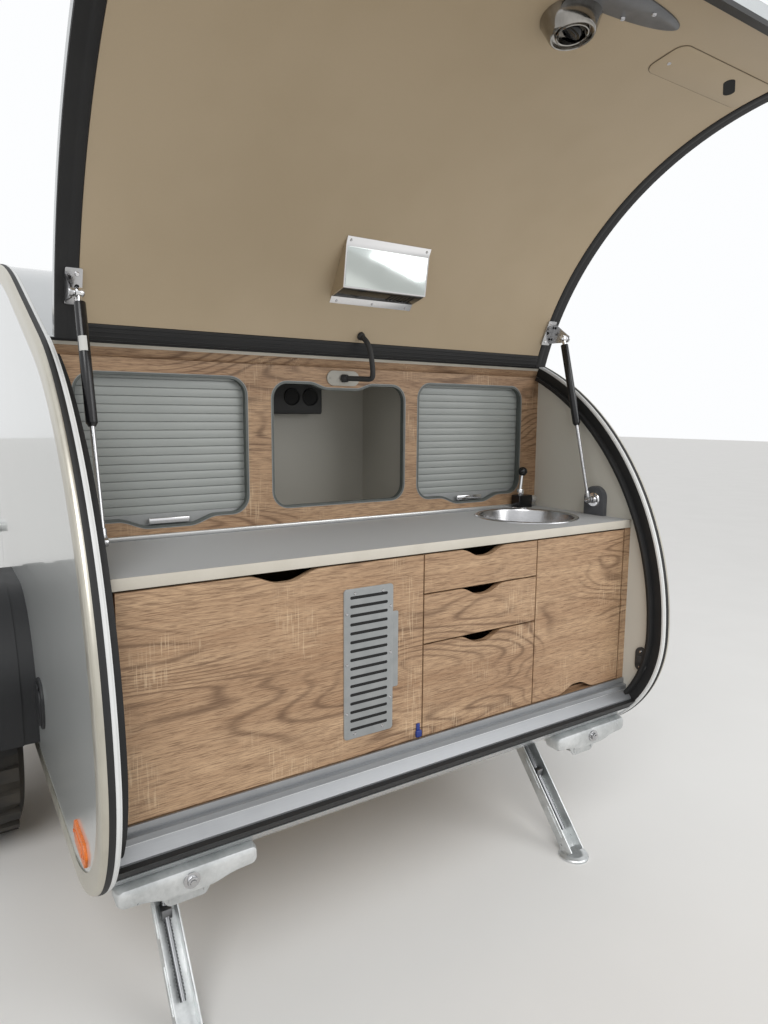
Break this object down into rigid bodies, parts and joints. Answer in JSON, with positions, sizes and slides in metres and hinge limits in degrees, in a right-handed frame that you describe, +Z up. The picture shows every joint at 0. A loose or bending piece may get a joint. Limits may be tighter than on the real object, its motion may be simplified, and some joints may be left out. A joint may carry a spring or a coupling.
{
  "type": "teardrop camping trailer",
  "caption": "Teardrop trailer with an open rear hatch over a galley of drawers, sink and shutters, on one axle with a jockey wheel and two lowered rear steadies.",
  "frame": {"origin": "on the ground, midway between the open hatch's edge and the coupling's nose", "axes": "+X forward to the coupling, +Y to the trailer's left, +Z up"},
  "size_m": [4.2103, 2.004, 2.0805],
  "materials": {
    "body_paint": "satin",
    "window": "smooth",
    "black_metal": "satin",
    "bright_steel": "brushed",
    "tyre": "matt",
    "rim_steel": "gloss",
    "black_plastic": "matt",
    "galvanised": "dull zinc",
    "board": "matt",
    "trim": "satin",
    "seal": "matt",
    "mirror": "polished",
    "lamp_red": "gloss",
    "front_board": "oak laminate",
    "grille": "satin",
    "birch": "satin",
    "chrome": "polished",
    "shutter": "satin",
    "rubber": "matt",
    "marker": "gloss",
    "grey_top": "satin laminate",
    "fabric": "woven",
    "smoked": "gloss"
  },
  "bodies": {
    "trailer_body": {"wall_left": "body_paint", "wall_right": "body_paint", "fender_left": "black_plastic", "fender_right": "black_plastic", "body_skin": "body_paint", "floor_deck": "board", "sill": "trim", "opening_seals": "seal", "edge_trims": "trim", "wall_brackets": "galvanised", "lower_cabinet": "birch", "worktop": "grey_top", "sink": "bright_steel", "tap": "chrome", "back_panel": "front_board", "upper_cabinet": "birch", "roller_shutters": "shutter", "conduit": "seal", "conduit_plate": "front_board", "axle": "galvanised", "chassis": "galvanised", "coupling_head": "bright_steel", "handbrake": "black_metal", "steady_mounts": "galvanised", "side_markers": "marker", "wall_fittings": "black_plastic", "mattress": "fabric", "vent_base": "black_plastic"},
    "hatch": {"hatch_shell": "body_paint", "hatch_border": "black_plastic", "hatch_light_box": "mirror", "hatch_downlight": "black_metal", "hatch_plates": "black_plastic", "hatch_lamps": "lamp_red", "hatch_brackets": "galvanised"},
    "strut_tube_left": {"strut_tube_left": "black_metal"},
    "strut_rod_left": {"strut_rod_left": "bright_steel"},
    "wheel_left": {"tyre_left": "tyre", "rim_left": "rim_steel"},
    "door_left": {"side_door_left": "body_paint", "door_window_left": "window"},
    "steady_leg_left": {"steady_leg_left": "galvanised"},
    "strut_tube_right": {"strut_tube_right": "black_metal"},
    "strut_rod_right": {"strut_rod_right": "bright_steel"},
    "wheel_right": {"tyre_right": "tyre", "rim_right": "rim_steel"},
    "door_right": {"side_door_right": "body_paint", "door_window_right": "window"},
    "steady_leg_right": {"steady_leg_right": "galvanised"},
    "drawer_wide": {"drawer_wide": "front_board", "vent_grille": "grille"},
    "drawer_top": {"drawer_top": "front_board"},
    "drawer_middle": {"drawer_middle": "front_board"},
    "drawer_bottom": {"drawer_bottom": "front_board"},
    "flap_right": {"flap_right": "front_board"},
    "jockey_tube": {"jockey_tube": "galvanised"},
    "jockey_fork": {"jockey_fork": "galvanised"},
    "jockey_wheel": {"jockey_wheel": "rubber"},
    "vent_lid": {"vent_lid": "smoked"}
  },
  "joints": [
    {"name": "hatch_hinge", "type": "hinge", "parent": "trailer_body", "child": "hatch", "pos_m": [-1.19, 0, 1.4725], "axis": [0, 1, 0], "range_deg": [-96.5, 0], "deforming": ["conduit"]},
    {"name": "strut_pivot_left", "type": "hinge", "parent": "hatch", "child": "strut_tube_left", "pos_m": [-1.322, 0.69, 1.55], "axis": [0, 1, 0], "range_deg": [0, 118.2]},
    {"name": "strut_stroke_left", "type": "slide", "parent": "strut_tube_left", "child": "strut_rod_left", "axis": [-0.2514, 0, -0.9679], "range_m": [-0.17, 0]},
    {"name": "wheel_spin_left", "type": "hinge", "parent": "trailer_body", "child": "wheel_left", "pos_m": [-0.41, 0.8905, 0.345], "axis": [0, 1, 0], "continuous": true},
    {"name": "door_hinge_left", "type": "hinge", "parent": "trailer_body", "child": "door_left", "pos_m": [0.693, 0.764, 0.935], "axis": [0, 0, -1], "range_deg": [0, 110]},
    {"name": "steady_pivot_left", "type": "hinge", "parent": "trailer_body", "child": "steady_leg_left", "pos_m": [-1.285, 0.585, 0.31], "axis": [0, -1, 0], "range_deg": [-50, 0]},
    {"name": "strut_pivot_right", "type": "hinge", "parent": "hatch", "child": "strut_tube_right", "pos_m": [-1.322, -0.69, 1.55], "axis": [0, 1, 0], "range_deg": [0, 118.2]},
    {"name": "strut_stroke_right", "type": "slide", "parent": "strut_tube_right", "child": "strut_rod_right", "axis": [-0.2514, 0, -0.9679], "range_m": [-0.17, 0]},
    {"name": "wheel_spin_right", "type": "hinge", "parent": "trailer_body", "child": "wheel_right", "pos_m": [-0.41, -0.8905, 0.345], "axis": [0, 1, 0], "continuous": true},
    {"name": "door_hinge_right", "type": "hinge", "parent": "trailer_body", "child": "door_right", "pos_m": [0.693, -0.764, 0.935], "axis": [0, 0, 1], "range_deg": [0, 110]},
    {"name": "steady_pivot_right", "type": "hinge", "parent": "trailer_body", "child": "steady_leg_right", "pos_m": [-1.285, -0.585, 0.31], "axis": [0, -1, 0], "range_deg": [-50, 0]},
    {"name": "drawer_wide_slide", "type": "slide", "parent": "trailer_body", "child": "drawer_wide", "axis": [-1, 0, 0], "range_m": [0, 0.3]},
    {"name": "drawer_top_slide", "type": "slide", "parent": "trailer_body", "child": "drawer_top", "axis": [-1, 0, 0], "range_m": [0, 0.28]},
    {"name": "drawer_middle_slide", "type": "slide", "parent": "trailer_body", "child": "drawer_middle", "axis": [-1, 0, 0], "range_m": [0, 0.28]},
    {"name": "drawer_bottom_slide", "type": "slide", "parent": "trailer_body", "child": "drawer_bottom", "axis": [-1, 0, 0], "range_m": [0, 0.28]},
    {"name": "flap_right_hinge", "type": "hinge", "parent": "trailer_body", "child": "flap_right", "pos_m": [-1.573, -0.5285, 0.991], "axis": [0, 1, 0], "range_deg": [0, 90]},
    {"name": "jockey_lift", "type": "slide", "parent": "trailer_body", "child": "jockey_tube", "axis": [0, 0, -1], "range_m": [-0.145, 0]},
    {"name": "jockey_swivel", "type": "hinge", "parent": "jockey_tube", "child": "jockey_fork", "pos_m": [1.76, 0.232, 0.3], "axis": [0, 0, 1], "continuous": true},
    {"name": "jockey_spin", "type": "hinge", "parent": "jockey_fork", "child": "jockey_wheel", "pos_m": [1.728, 0.232, 0.085], "axis": [0, 1, 0], "continuous": true},
    {"name": "vent_hinge", "type": "hinge", "parent": "trailer_body", "child": "vent_lid", "pos_m": [0.5496, 0, 1.6805], "axis": [0, 1, 0], "range_deg": [0, 50]}
  ],
  "couplings": [
    {"joint": "strut_pivot_left", "follows": "hatch_hinge", "ratio": -1.2243},
    {"joint": "strut_stroke_left", "follows": "hatch_hinge", "m_per_rad": 0.10064},
    {"joint": "strut_pivot_right", "follows": "hatch_hinge", "ratio": -1.2243},
    {"joint": "strut_stroke_right", "follows": "hatch_hinge", "m_per_rad": 0.10064}
  ]
}
